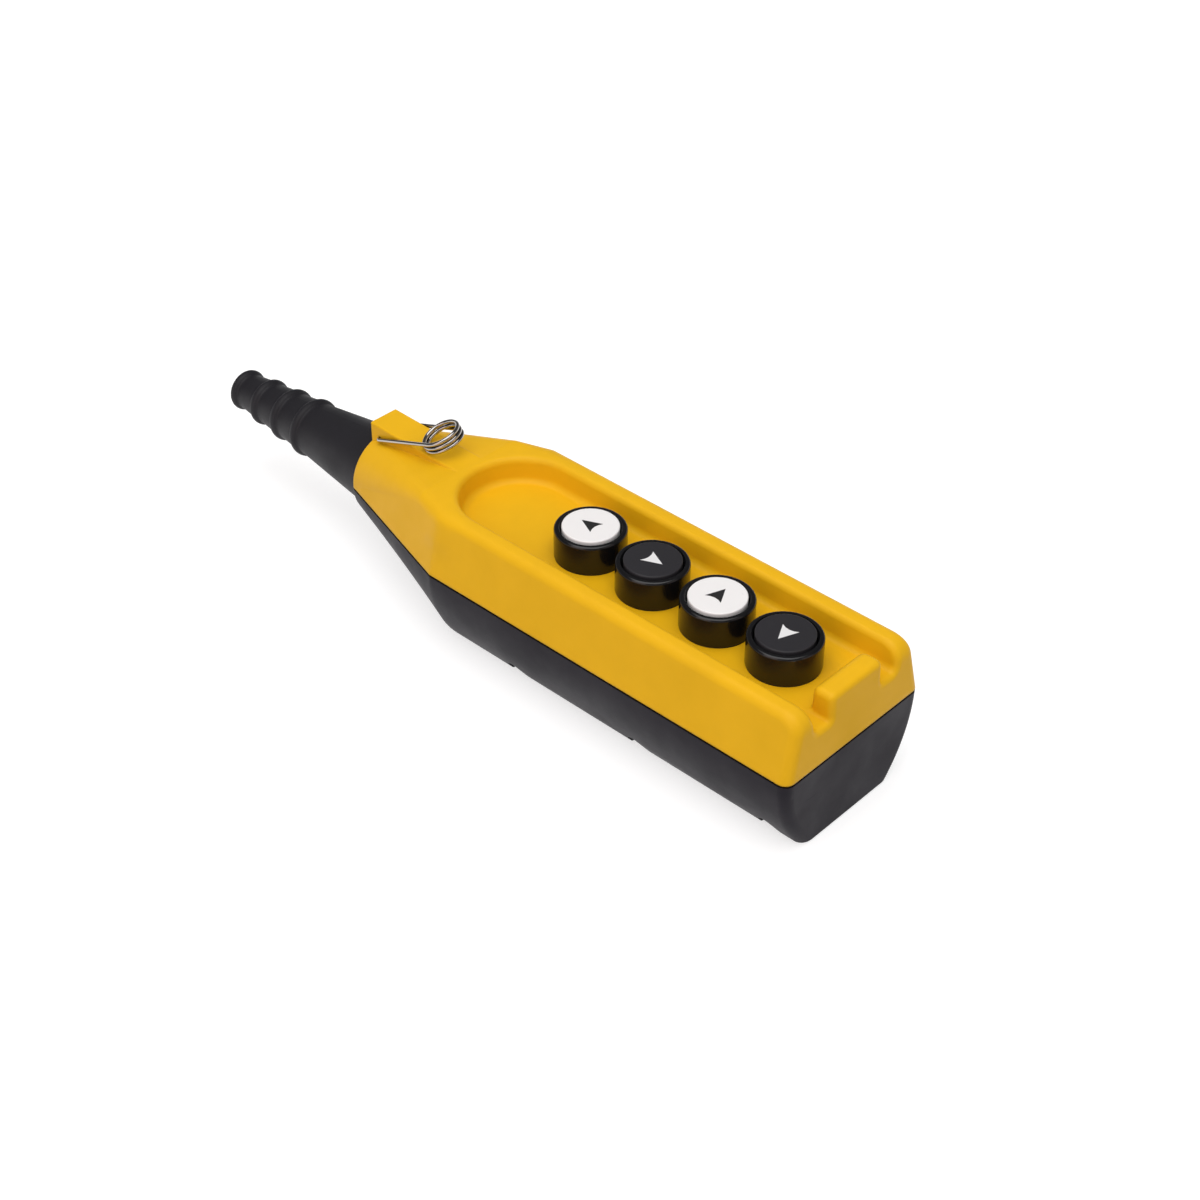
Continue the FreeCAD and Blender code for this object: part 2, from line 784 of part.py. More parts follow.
def housing_gasket():
    """A flat strip in the parting gap, open at the neck where the sleeve comes out."""
    body = new_body("gasket")
    strip = new_sketch(body, "strip", "XY_Plane", base_rim)
    outer = size["gasket_inset"]
    inner = size["gasket_inset"] + size["gasket_width"]
    points = []
    for inset, order in ((outer, 1), (inner, -1)):
        run = [
            (-(size["neck_radius"] - inset), size["housing_length"] - outer),
            (-(half_width - inset), body_length),
            (-(half_width - inset), inset + size["corner_radius"] - outer),
            (-(half_width - inset) + size["corner_radius"] - outer, inset),
        ]
        run = run + [(-x, y) for x, y in reversed(run)]
        points = points + run[::order]
    corner = size["corner_radius"] - outer
    outline(strip, points, {2: (corner, True), 4: (corner, True), 10: (corner, False), 12: (corner, False)})
    add(body, "Pad", "seal", strip, Length=size["parting_gap"])
    finish(body, "housing_gasket")


def housing_screws():
    head = (size["screw_head_radius"], size["screw_head_height"])
    shank = (size["screw_radius"], screw_length)
    spots = screw_spots()
    group(
        [screw("housing_screw_{}".format(i), head, shank, x, along, size["counterbore_depth"], True)
         for i, (x, along) in enumerate(spots)],
        "housing_screws")


# Cable entry

def cable_sleeve():
    """A tapered rubber boot: collar and groove held by the neck, plain cone, then rolled ribs."""
    body = new_body("sleeve")
    sketch = new_sketch(body, "half_section", "YZ_Plane")
    bore = size["cable_radius"]
    face = size["housing_length"] + size["sleeve_gap"]
    groove_start = neck_start - size["sleeve_gap"]
    tip = overall
    points = [
        (groove_start - size["sleeve_collar_length"], bore),
        (tip, bore),
    ]
    arcs = {}
    half = size["rib_half_width"]
    rise = size["rib_rise"]
    bulge = (half * half + rise * rise) / (2 * rise)
    for i in range(RIBS):
        middle_of_rib = tip - half - i * size["rib_pitch"]
        tube = size["sleeve_tip_radius"] + i * size["rib_step"] - rise
        arcs[len(points)] = (bulge, True)
        points.append((middle_of_rib + half, tube))
        points.append((middle_of_rib - half, tube))
    points.append((face, size["neck_radius"] - size["sleeve_step"]))
    points.append((face, groove_radius))
    points.append((groove_start, groove_radius))
    points.append((groove_start, collar_radius))
    points.append((groove_start - size["sleeve_collar_length"], collar_radius))
    outline(sketch, points, arcs)
    turn_about(body, "boot", sketch, "Y_Axis")

    def on_rib_root(edge):
        box = edge.BoundBox
        return box.YLength < 1e-3 and face.number + 1e-3 < box.YMin < tip.number - 1e-3

    def on_tip(edge):
        box = edge.BoundBox
        outside = box.ZLength > 2 * bore.number + 1e-3
        return outside and box.YLength < 1e-3 and abs(box.YMin - tip.number) < 1e-3

    fillet(body, "rib_roots", on_rib_root, Radius=size["rib_root_radius"])
    fillet(body, "tip_edge", on_tip, Radius=size["sleeve_tip_edge"])
    finish(body, "cable_sleeve", 0, size["parting_height"])


def cable_clamp():
    body = new_body("clamp")
    view = section_at(body, "bar", clamp_start)
    foot = size["parting_height"] + size["clamp_gap"] / 2
    half = size["clamp_width"] / 2
    rectangle(view, -half, foot, half, clamp_top)
    add(body, "Pad", "block", view, reverse=True, Length=size["clamp_length"])
    way = section_at(body, "cable_way", clamp_start)
    ring(way, 0, size["parting_height"], size["cable_radius"])
    add(body, "Pocket", "saddle", way, Length=size["clamp_length"])
    holes = new_sketch(body, "screw_holes", "XY_Plane", clamp_top)
    along = clamp_start + size["clamp_length"] / 2
    spots = (-size["clamp_screw_offset"], size["clamp_screw_offset"])
    for x in spots:
        ring(holes, x, along, size["clamp_screw_radius"] + size["screw_clearance"])
    add(body, "Pocket", "holes", holes, Length=clamp_top - foot)
    finish(body, "cable_clamp")

    head = (size["clamp_head_radius"], size["clamp_head_height"])
    shank = (size["clamp_screw_radius"], clamp_top - saddle_top + size["clamp_screw_depth"])
    group(
        [screw("clamp_screw_{}".format(i), head, shank, x, along, clamp_top, False)
         for i, x in enumerate(spots)],
        "clamp_screws")


# Hanger

def wire_bend(before, corner, after, radius):
    """The arc that rounds a corner of the wire, as its first, middle and last point."""
    back = (before - corner).normalize()
    ahead = (after - corner).normalize()
    half_turn = back.getAngle(ahead) / 2
    reach = radius / math.tan(half_turn)
    to_centre = (back + ahead).normalize()
    crown = corner + to_centre * (radius / math.sin(half_turn) - radius)
    return corner + back * reach, crown, corner + ahead * reach


def hanger_ring():
    """Spring wire: two legs hooked into the tongue and a close coil that a hook goes through.

    The coil is a row of half turns, each leaning the other way.  It rolls sideways until both legs,
    which leave it from its top and from its bottom turn, lie in one plane with the pins.  At rest the
    near end of its lowest turn lies on the tongue.
    """
    value = {name: item.number for name, item in size.items()}
    radius = value["coil_radius"]
    pivot = FreeCAD.Vector(0, hanger_along.number, hanger_height.number)
    half_turns = round(2 * value["coil_turns"])
    rise = (value["hanger_wire"] + value["coil_gap"]) / 2
    stack = half_turns * rise
    near_end = value["coil_distance"] - radius
    depth = (stack - rise + value["hanger_wire"]) / 2
    lift = tongue_top_at(hanger_along - near_end).number - pivot.z + value["hanger_rest_gap"]
    tilt = math.atan2(depth, near_end) + math.asin(lift / math.hypot(depth, near_end))
    away = FreeCAD.Vector(0, -math.cos(tilt), math.sin(tilt))
    normal = FreeCAD.Vector(0, math.sin(tilt), math.cos(tilt))
    right = FreeCAD.Vector(1, 0, 0)
    roll = math.atan2(stack / 2, radius)
    across = right * math.cos(roll) + normal * math.sin(roll)
    axis = normal * math.cos(roll) - right * math.sin(roll)
    centre = pivot + away * value["coil_distance"]

    # the wire runs from the left pin through the coil to the right pin
    sides = [-1 if i % 2 == 0 else 1 for i in range(half_turns + 1)]
    turns = [
        centre + across * side * radius + axis * (stack / 2 - i * rise) for i, side in enumerate(sides)
    ]
    edges = []
    for i, (first, last) in enumerate(zip(turns, turns[1:])):
        outward = away if i % 2 == 0 else away * -1
        crest = (first + last) / 2 + outward * (last - first).Length / 2
        edges.append(Part.Arc(first, crest, last).toShape())
    inner = value["tongue_width"] / 2 - value["hanger_pin_depth"]
    for side, coil_end in ((-1, turns[0]), (1, turns[-1])):
        elbow = pivot + right * right.dot(coil_end)
        pin_end = pivot + right * side * inner
        turn = abs(elbow.x) - value["tongue_width"] / 2 - value["hanger_side_gap"]
        bend = wire_bend(pin_end, elbow, coil_end, turn)
        leg = [
            Part.LineSegment(pin_end, bend[0]).toShape(),
            Part.Arc(*bend).toShape(),
            Part.LineSegment(bend[2], coil_end).toShape(),
        ]
        edges = leg + edges if side < 0 else edges + leg[::-1]
    start = pivot - right * inner
    section = Part.Face(Part.Wire(Part.Circle(start, right, value["hanger_wire"] / 2).toShape()))
    item = doc.addObject("Part::Feature", "hanger")
    item.Shape = Part.Wire(edges).makePipe(section)
    finish(item, "hanger_ring")


# Push buttons

def button(number, along):
    bezel(number, along)
    panel_seal(number, along)
    lock_nut(number, along)
    cap(number, along)
    plunger(number, along)
    return_spring(number, along)
    contact_block(number, along)
    fixed_contacts(number, along)
    contact_bridge(number, along)
    terminal_screws(number, along)


def round_body(name, number, along, label, points, arcs=None):
    """A piece turned about its own upright axis from half its section."""
    body = new_body("{}_{}".format(name, number))
    sketch = new_sketch(body, "half_section", "XZ_Plane")
    outline(sketch, points, arcs)
    turn_about(body, "turned", sketch, "Z_Axis")
    finish(body, "{}_{}".format(label, number), along)
    return body


def bezel(number, along):
    recess = size["cap_radius"] + size["cap_clearance"]
    edge = size["bezel_edge"]
    guide = size["plunger_radius"] + size["plunger_clearance"]
    points = [
        (guide, barrel_bottom), (size["barrel_radius"], barrel_bottom),
        (size["barrel_radius"], seat), (size["bezel_radius"], seat),
        (size["bezel_radius"], bezel_top - edge), (size["bezel_radius"] - edge, bezel_top),
        (recess + edge / 2, bezel_top), (recess, bezel_top - edge),
        (recess, recess_floor), (size["barrel_bore"], recess_floor),
        (size["barrel_bore"], ledge_top), (guide, ledge_top),
    ]
    round_body("bezel", number, along, "button_bezel", points, {4: (edge, True)})


def panel_seal(number, along):
    inner = size["barrel_radius"] + size["panel_clearance"]
    outer = size["bezel_radius"] - size["panel_clearance"]
    points = [(inner, channel_floor), (outer, channel_floor), (outer, seat), (inner, seat)]
    round_body("seal", number, along, "panel_seal", points)


def lock_nut(number, along):
    item = doc.addObject("Part::Prism", "nut_blank_{}".format(number))
    item.Polygon = 6
    bind(item, Circumradius=size["nut_width"] / math.sqrt(3), Height=size["nut_thickness"])
    base = ceiling - size["nut_thickness"]
    move(item, 0, 0, base)
    hole = rod("nut_hole_{}".format(number), size["barrel_radius"] + size["panel_clearance"], ceiling)
    finish(cut("nut_{}".format(number), item, hole), "lock_nut_{}".format(number), along)


def cap(number, along):
    outer = size["cap_radius"]
    inner = outer - size["cap_wall"]
    edge = size["cap_edge"]
    points = [
        (inner, cap_bottom), (outer, cap_bottom), (outer, cap_top - edge),
        (outer - edge, cap_top), (0, cap_top), (0, crown_under), (inner, crown_under),
    ]
    round_body("cap", number, along, "button_cap", points, {2: (edge, True)})


def plunger(number, along):
    head = size["cap_radius"] - size["cap_wall"] - size["panel_clearance"]
    stem = size["plunger_radius"]
    points = [
        (0, bridge_top), (stem, bridge_top), (stem, head_under),
        (head, head_under), (head, crown_under), (0, crown_under),
    ]
    round_body("plunger", number, along, "plunger", points)


def return_spring(number, along):
    """A compression spring of square wire from the barrel's ledge to the plunger's head."""
    wire = size["spring_wire"] / math.sqrt(2)
    helix = doc.addObject("Part::Helix", "spring_path_{}".format(number))
    height = head_under - ledge_top - 2 * wire
    bind(helix, Radius=size["spring_radius"], Height=height, Pitch=height / size["spring_turns"])
    section = doc.addObject("Part::RegularPolygon", "spring_section_{}".format(number))
    section.Polygon = 4
    bind(section, Circumradius=wire)
    move(section, size["spring_radius"], 0, 0, FreeCAD.Rotation(FreeCAD.Vector(1, 0, 0), 90))
    coil = doc.addObject("Part::Sweep", "spring_{}".format(number))
    coil.Sections = [section]
    coil.Spine = (helix, ["Edge1"])
    coil.Solid = True
    coil.Frenet = True
    finish(coil, "return_spring_{}".format(number), along, ledge_top + wire)


def contact_block(number, along):
    body = new_body("block_{}".format(number))
    view = section_at(body, "end_view", -1 * size["block_length"] / 2)
    top = size["block_top"]
    points = [
        (-block_half, plate_top), (block_half, plate_top), (block_half, shoulder), (tower_half, shoulder),
        (tower_half, top), (-tower_half, top), (-tower_half, shoulder), (-block_half, shoulder),
    ]
    outline(view, points)
    add(body, "Pad", "case", view, reverse=True, Length=size["block_length"])
    slot = new_sketch(body, "slot", "XY_Plane", top)
    slot_end = size["block_slot_length"] / 2
    rectangle(slot, -slot_half, -slot_end, slot_half, slot_end)
    add(body, "Pocket", "bridge_slot", slot, Length=top - plate_top - size["block_floor"])
    gate = section_at(body, "gate", 0.0)
    rectangle(gate, -tower_half, shoulder, tower_half, strip_top + size["strip_clearance"])
    gate_width = size["strip_width"] + 2 * size["strip_clearance"]
    add(body, "Pocket", "strip_gate", gate, both_ways=True, Length=gate_width)
    holes = new_sketch(body, "terminal_holes", "XY_Plane", shoulder)
    for x in (-terminal_offset, terminal_offset):
        ring(holes, x, 0, terminal_hole)
    add(body, "Pocket", "holes", holes, Length=size["terminal_depth"])
    finish(body, "contact_block_{}".format(number), along)


def fixed_contacts(number, along):
    """Two metal strips from the terminals into the block, one on each side of the bridge."""
    inner = bridge_half - size["contact_overlap"]
    outer = block_half - size["strip_inset"]
    width = size["strip_width"]
    strips = []
    for side, word, start in ((-1, "left", -outer), (1, "right", inner)):
        blank = doc.addObject("Part::Box", "strip_{}_{}".format(word, number))
        bind(blank, Length=outer - inner, Width=width, Height=size["strip_thickness"])
        move(blank, start, along - width / 2, shoulder)
        name = "strip_hole_{}_{}".format(word, number)
        hole = rod(name, terminal_hole, strip_top, side * terminal_offset, along)
        strips.append(cut("fixed_contact_{}_{}".format(word, number), blank, hole))
    group(strips, "fixed_contacts_{}".format(number))


def contact_bridge(number, along):
    item = doc.addObject("Part::Box", "bridge_{}".format(number))
    bind(item, Length=2 * bridge_half, Width=size["bridge_width"], Height=size["strip_thickness"])
    item.Label = "contact_bridge_{}".format(number)
    low = bridge_top - size["strip_thickness"]
    move(item, -bridge_half, along - size["bridge_width"] / 2 - overall / 2, low)
    pieces[item.Label] = item


def terminal_screws(number, along):
    head = (size["terminal_head_radius"], size["terminal_head_height"])
    shank = (size["terminal_radius"], size["strip_thickness"] + size["terminal_depth"])
    group(
        [screw("terminal_screw_{}_{}".format(number, i), head, shank, x, along, strip_top, False)
         for i, x in enumerate((-terminal_offset, terminal_offset))],
        "terminal_screws_{}".format(number))


# Plate under the contact blocks

def mounting_plate():
    body = new_body("plate")
    view = new_sketch(body, "blank", "XY_Plane", size["plate_height"])
    half = block_half
    first = size["button_first"] - size["plate_margin"]
    last = size["button_first"] + (BUTTONS - 1) * size["button_pitch"] + size["plate_margin"]
    rectangle(view, -half, first, half, last)
    for x, along in plate_screw_spots():
        ring(view, x, along, size["plate_screw_radius"] + size["screw_clearance"])
    add(body, "Pad", "sheet", view, Length=size["plate_thickness"])
    finish(body, "mounting_plate")
    head = (size["plate_head_radius"], size["plate_head_height"])
    shank = (size["plate_screw_radius"], size["plate_screw_depth"])
    group(
        [screw("plate_screw_{}".format(i), head, shank, x, along, plate_top, False)
         for i, (x, along) in enumerate(plate_screw_spots())],
        "plate_screws")


def check_and_write():
    doc.recompute()
    failed = [item.Label for item in doc.Objects if {"Invalid", "Error"} & set(item.State)]
    for label, item in pieces.items():
        if item.Shape.isNull() or not item.Shape.isValid() or not item.Shape.Solids:
            failed.append(label)
    if failed:
        raise RuntimeError("these did not build: {}".format(failed))
    os.makedirs("parts", exist_ok=True)
    for label, item in pieces.items():
        item.Shape.exportStep("parts/{}.step".format(label))


rear_base()
front_cover()
housing_gasket()
housing_screws()
cable_sleeve()
cable_clamp()
hanger_ring()
mounting_plate()
for place, distance in enumerate(button_spots(), start=1):
    button(place, distance)
check_and_write()
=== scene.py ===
"""Crane pendant control: finishes, added pieces, studio and camera.

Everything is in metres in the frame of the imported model: +Y runs along the housing to the cable
sleeve, +Z comes out of the button face, and the flat back lies on the floor.
"""
import json
import math

import bmesh
import bpy
from mathutils import Matrix, Vector


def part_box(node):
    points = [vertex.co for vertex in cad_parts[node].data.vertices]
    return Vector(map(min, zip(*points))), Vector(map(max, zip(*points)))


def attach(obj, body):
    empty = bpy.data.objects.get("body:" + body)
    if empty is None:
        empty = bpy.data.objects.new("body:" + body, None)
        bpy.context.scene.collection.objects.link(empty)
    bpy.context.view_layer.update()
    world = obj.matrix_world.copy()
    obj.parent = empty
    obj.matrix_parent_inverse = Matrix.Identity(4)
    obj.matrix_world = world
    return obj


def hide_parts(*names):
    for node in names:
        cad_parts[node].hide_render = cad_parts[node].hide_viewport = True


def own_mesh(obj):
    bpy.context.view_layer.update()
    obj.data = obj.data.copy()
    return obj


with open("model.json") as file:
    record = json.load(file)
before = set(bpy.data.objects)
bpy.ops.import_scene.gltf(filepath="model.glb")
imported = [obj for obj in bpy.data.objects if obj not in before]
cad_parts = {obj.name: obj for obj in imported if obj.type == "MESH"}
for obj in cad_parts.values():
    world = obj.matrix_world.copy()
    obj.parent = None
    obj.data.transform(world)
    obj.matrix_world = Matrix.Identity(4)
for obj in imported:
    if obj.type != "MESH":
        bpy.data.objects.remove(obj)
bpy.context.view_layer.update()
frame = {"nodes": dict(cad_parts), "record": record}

MM = 0.001
BUTTONS = (1, 2, 3, 4)
WHITE_BUTTONS = (1, 3)

# printed arrows, measured from the middle of a cap
ARROW_TIP = 5.0 * MM
ARROW_BACK = -3.3 * MM
ARROW_NOTCH = -2.1 * MM
ARROW_BOW = 0.3 * MM
ARROW_HALF_WIDTH = 3.8 * MM
ARROW_TURNS = {1: 90, 2: -90, 3: 4, 4: 183}
INK_THICKNESS = 0.03 * MM

# housing screws: the head with its cross recess, and the thread
HEAD_RADIUS = 4.6 * MM
HEAD_HEIGHT = 3.2 * MM
HEAD_EDGE = 0.7 * MM
RECESS_ARM = 2.5 * MM
RECESS_HALF_WIDTH = 0.45 * MM
RECESS_DEPTH = 1.6 * MM
RECESS_TAPER = 0.7
SHANK_RADIUS = 2.4 * MM
SHANK_TAPER = 0.6
SHANK_SIDES = 24
THREAD_DEPTH = 0.4 * MM
THREAD_PITCH = 1.6 * MM
THREAD_STEPS = 12
RIDGE_HALF_WIDTH = THREAD_PITCH / 2.6
RIDGE_ROOT = 0.9
SCREW_ROWS = 3
TURN_PER_ROW = 0.5
TURN_PER_METRE = 40.0

# the bend into the taper: light rolls over it on the outer walls, and not at the parting of the shells
BEND_Y = 10.55 * MM
BEND_ROLL = 6.0 * MM
BEND_FULL = 7.0 * MM
BEND_REACH = 14.0 * MM
INNER_WALL_X = 24.0 * MM
OUTER_WALL_X = 28.0 * MM
PARTING_Z = 38.2 * MM
PARTING_CRISP = 1.0 * MM
PARTING_CLEAR = 9.0 * MM

# the cover's end face, which stands more upright than that of the carried-over shell
END_STRAIGHTENED = 2.8 * MM
END_HELD = 4.0 * MM
END_REACH = 20.0 * MM
COVER_HEIGHT = 27.3 * MM
MERGE_GAP = 0.001 * MM

# surface effects that the finishes share
GRAIN_SCALE = 1500.0
GRAIN_DEPTH = 0.02 * MM
EDGE_ROUND = 1.0 * MM
WEAR_REACH = 0.9 * MM
WEAR_ROUGHNESS = 0.1
SCRATCH_TURNS = (0.6, -0.9)
SCRATCH_SCALE = (60.0, 2200.0, 700.0)
SCRATCH_ROUGHNESS = 0.12
# painted shade: near black for the shade in the parting gap between the shells, and how fast it fades in
PARTING_GAP_SHADE = (0.0012, 0.0011, 0.0010)
PARTING_GAP_SHADE_FADE = 0.1 * MM
# how far the painted shade reaches where a surface is nearly covered
OCCLUSION_SHADE_REACH = 2.5 * MM

# the view of the photograph
CAMERA_TARGET = Vector((2.4, -45.6, 31.2)) * MM
CAMERA_DISTANCE = 870.9 * MM
CAMERA_AZIMUTH = math.radians(-47.136)
CAMERA_ELEVATION = math.radians(37.615)
CAMERA_ROLL = math.radians(0.416)
CAMERA_LENS = 63.38
SENSOR_WIDTH = 36.0

# the studio
STUDIO_MIDDLE = Vector((0.0, -0.03, 0.03))
NEUTRAL = (1.0, 1.0, 1.0)
WARM = (1.0, 0.78, 0.74)
FLOOR_HALF_SIZE = 8.0
FLOOR_DROP = 0.05 * MM
FLOOR_GREY = 0.50
FLOOR_NEAR = 0.6
FLOOR_FAR = 1.6
NEAR_GLOW = 0.66
FAR_GLOW = 0.80
ROOM_LIGHT = 0.42
MIRRORED_HEIGHT = 0.2
MIRRORED_DIM = 0.1


# Shader building

class Nodes:
    """Adds nodes to one tree and links them."""

    def __init__(self, tree):
        self.tree = tree

    def add(self, kind, links=None, values=None, **settings):
        node = self.tree.nodes.new(kind)
        for name, value in settings.items():
            setattr(node, name, value)
        for name, value in (values or {}).items():
            node.inputs[name].default_value = value
        for name, source in (links or {}).items():
            self.tree.links.new(source, node.inputs[name])
        return node

    def feed(self, socket, value):
        """Gives a socket another socket, a plain colour or a number."""
        if isinstance(value, bpy.types.NodeSocket):
            self.tree.links.new(value, socket)
        elif isinstance(value, tuple):
            socket.default_value = (*value, 1.0)
        else:
            socket.default_value = value

    def place(self):
        """The point on the piece."""
        return self.add("ShaderNodeTexCoord").outputs["Object"]

    def axes(self, vector):
        return self.add("ShaderNodeSeparateXYZ", {"Vector": vector}).outputs

    def noise(self, place, scale, detail, roughness):
        node = self.add("ShaderNodeTexNoise", {"Vector": place}, {"Detail": detail, "Roughness": roughness})
        self.feed(node.inputs["Scale"], scale)
        return node.outputs["Fac"]

    def between(self, value, low, high, to_low=0.0, to_high=1.0):
        values = {"From Min": low, "From Max": high, "To Min": to_low, "To Max": to_high}
        return self.add("ShaderNodeMapRange", {"Value": value}, values).outputs["Result"]

    def maths(self, operation, first, second=0.0):
        node = self.add("ShaderNodeMath", operation=operation)
        self.feed(node.inputs[0], first)
        self.feed(node.inputs[1], second)
        return node.outputs[0]

    def mix(self, amount, first, second):
        """Mixes two colours, each a plain colour or a socket."""
        node = self.add("ShaderNodeMix", {"Factor": amount}, data_type="RGBA")
        # its sockets share their names with those for other kinds of data, so they go by number
        for socket, colour in zip(node.inputs[6:8], (first, second)):
            self.feed(socket, colour)
        return node.outputs[2]


def new_group(name, inputs, outputs):
    """A node group with float inputs (name to default) and float outputs."""
    tree = bpy.data.node_groups.new(name, "ShaderNodeTree")
    for label, default in inputs.items():
        socket = tree.interface.new_socket(label, in_out="INPUT", socket_type="NodeSocketFloat")
        socket.default_value = default
    for label in outputs:
        tree.interface.new_socket(label, in_out="OUTPUT", socket_type="NodeSocketFloat")
    nodes = Nodes(tree)
    given = nodes.add("NodeGroupInput").outputs
    result = nodes.add("NodeGroupOutput").inputs
    return nodes, given, result


def moulded_grain():
    """The fine sparked grain of a mould, the slow waviness of its walls, and blotches in the gloss."""
    inputs = {"Grain Scale": GRAIN_SCALE, "Wave": 0.5}
    nodes, given, result = new_group("moulded_grain", inputs, ("Height", "Blotch"))
    place = nodes.place()
    fine = nodes.noise(place, scale=given["Grain Scale"], detail=3.0, roughness=0.6)
    slow = nodes.noise(place, scale=70.0, detail=1.0, roughness=0.4)
    clouds = nodes.noise(place, scale=38.0, detail=4.0, roughness=0.6)
    waviness = nodes.maths("MULTIPLY", slow, given["Wave"])
    nodes.feed(result["Height"], nodes.maths("ADD", fine, waviness))
    nodes.feed(result["Blotch"], nodes.between(clouds, low=0.3, high=0.7))
    return nodes.tree


def edge_wear():
    """A broken mask along outer edges, where hands and tables rub."""
    nodes, given, result = new_group("edge_wear", {"Amount": 1.0}, ("Mask",))
    rounded = nodes.add("ShaderNodeBevel", values={"Radius": WEAR_REACH}, samples=6).outputs["Normal"]
    straight = nodes.add("ShaderNodeNewGeometry").outputs["Normal"]
    facing = nodes.add("ShaderNodeVectorMath", operation="DOT_PRODUCT")
    nodes.feed(facing.inputs[0], rounded)
    nodes.feed(facing.inputs[1], straight)
    edge = nodes.between(facing.outputs["Value"], low=0.995, high=0.86)
    chips = nodes.noise(nodes.place(), scale=320.0, detail=4.0, roughness=0.7)
    broken = nodes.between(chips, low=0.42, high=0.68)
    mask = nodes.maths("MULTIPLY", edge, broken)
    nodes.feed(result["Mask"], nodes.maths("MULTIPLY", mask, given["Amount"]))
    return nodes.tree


def hairlines():
    """Fine handling scratches that run in two slanted ways."""
    nodes, given, result = new_group("hairlines", {"Amount": 1.0}, ("Mask",))
    place = nodes.place()
    strokes = []
    for turn in SCRATCH_TURNS:
        values = {"Rotation": (0.0, 0.0, turn), "Scale": SCRATCH_SCALE}
        slanted = nodes.add("ShaderNodeMapping", {"Vector": place}, values).outputs["Vector"]
        stroke = nodes.noise(slanted, scale=1.0, detail=2.0, roughness=0.5)
        strokes.append(nodes.between(stroke, low=0.66, high=0.74))
    mask = nodes.maths("MAXIMUM", *strokes)
    nodes.feed(result["Mask"], nodes.maths("MULTIPLY", mask, given["Amount"]))
    return nodes.tree


def edge_roll():
    """How far light rolls over a mould's edges: a set way, and further at the bend into the taper."""
    nodes, given, result = new_group("edge_roll", {"Edge": EDGE_ROUND, "Bend": BEND_ROLL}, ("Radius",))
    axes = nodes.axes(nodes.place())
    outside = nodes.between(nodes.maths("ABSOLUTE", axes["X"]), INNER_WALL_X, OUTER_WALL_X)
    along = nodes.maths("ABSOLUTE", nodes.maths("SUBTRACT", axes["Y"], BEND_Y))
    near_bend = nodes.between(along, BEND_REACH, BEND_FULL)
    above = nodes.maths("ABSOLUTE", nodes.maths("SUBTRACT", axes["Z"], PARTING_Z))
    off_parting = nodes.between(above, PARTING_CRISP, PARTING_CLEAR)
    room = nodes.maths("MULTIPLY", nodes.maths("MULTIPLY", near_bend, off_parting), outside)
    bend = nodes.maths("MULTIPLY", room, given["Bend"])
    nodes.feed(result["Radius"], nodes.maths("ADD", bend, given["Edge"]))
    return nodes.tree


GRAIN = moulded_grain()
WEAR = edge_wear()
SCRATCHES = hairlines()
EDGE_ROLL = edge_roll()


def finish(name, colour, worn, gloss, grain_scale=GRAIN_SCALE, grain_depth=GRAIN_DEPTH, wave=0.5,
           wear=0.5, scratches=0.3, shade=0.9, metallic=0.0, specular=0.5, soft_edge=0.0,
           gap_shade_above=None, occlusion_shade=None):
    """A surface whose colour, gloss and relief change over it.

    gloss is (smoothest, roughest); worn is the colour of rubbed edges; shade darkens the blotches;
    soft_edge is how far the light rolls over crisp edges of the mould; painted shade of the parting gap
    sits above gap_shade_above; occlusion_shade is the painted shade where the surface is nearly covered.
    """
    material = bpy.data.materials.new(name)
    material.use_nodes = True
    nodes = Nodes(material.node_tree)
    shader = material.node_tree.nodes["Principled BSDF"]
    shader.inputs["Metallic"].default_value = metallic
    shader.inputs["Specular IOR Level"].default_value = specular
    grain = nodes.add("ShaderNodeGroup", values={"Grain Scale": grain_scale, "Wave": wave}, node_tree=GRAIN)
    rubbed = nodes.add("ShaderNodeGroup", values={"Amount": wear}, node_tree=WEAR)
    scratched = nodes.add("ShaderNodeGroup", values={"Amount": scratches}, node_tree=SCRATCHES)
    darker = tuple(channel * shade for channel in colour)
    base = nodes.mix(grain.outputs["Blotch"], colour, darker)
    base = nodes.mix(rubbed.outputs["Mask"], base, worn)
    if gap_shade_above is not None:
        # painted shade: above this height the colour goes near black, for the shade in the parting gap
        height = nodes.axes(nodes.place())["Z"]
        base = nodes.mix(nodes.between(height, gap_shade_above, gap_shade_above + PARTING_GAP_SHADE_FADE), base, PARTING_GAP_SHADE)
    if occlusion_shade is not None:
        # painted shade: ambient occlusion darkens the colour between coil turns and where other parts come
        # close
        cover = nodes.add("ShaderNodeAmbientOcclusion", values={"Distance": OCCLUSION_SHADE_REACH}, samples=8)
        base = nodes.mix(nodes.between(cover.outputs["AO"], low=0.45, high=0.9), occlusion_shade, base)
    rough = nodes.between(grain.outputs["Blotch"], 0.0, 1.0, *gloss)
    rough = nodes.maths("ADD", rough, nodes.maths("MULTIPLY", scratched.outputs["Mask"], SCRATCH_ROUGHNESS))
    rough = nodes.maths("ADD", rough, nodes.maths("MULTIPLY", rubbed.outputs["Mask"], WEAR_ROUGHNESS))
    relief = nodes.add(
        "ShaderNodeBump", {"Height": grain.outputs["Height"]}, {"Strength": 1.0, "Distance": grain_depth})
    if soft_edge:
        roll = nodes.add("ShaderNodeGroup", values={"Edge": soft_edge}, node_tree=EDGE_ROLL)
        rolled = nodes.add("ShaderNodeBevel", {"Radius": roll.outputs["Radius"]}, samples=8)
        nodes.feed(relief.inputs["Normal"], rolled.outputs["Normal"])
    nodes.feed(shader.inputs["Base Color"], base)
    nodes.feed(shader.inputs["Roughness"], rough)
    nodes.feed(shader.inputs["Normal"], relief.outputs["Normal"])
    return material


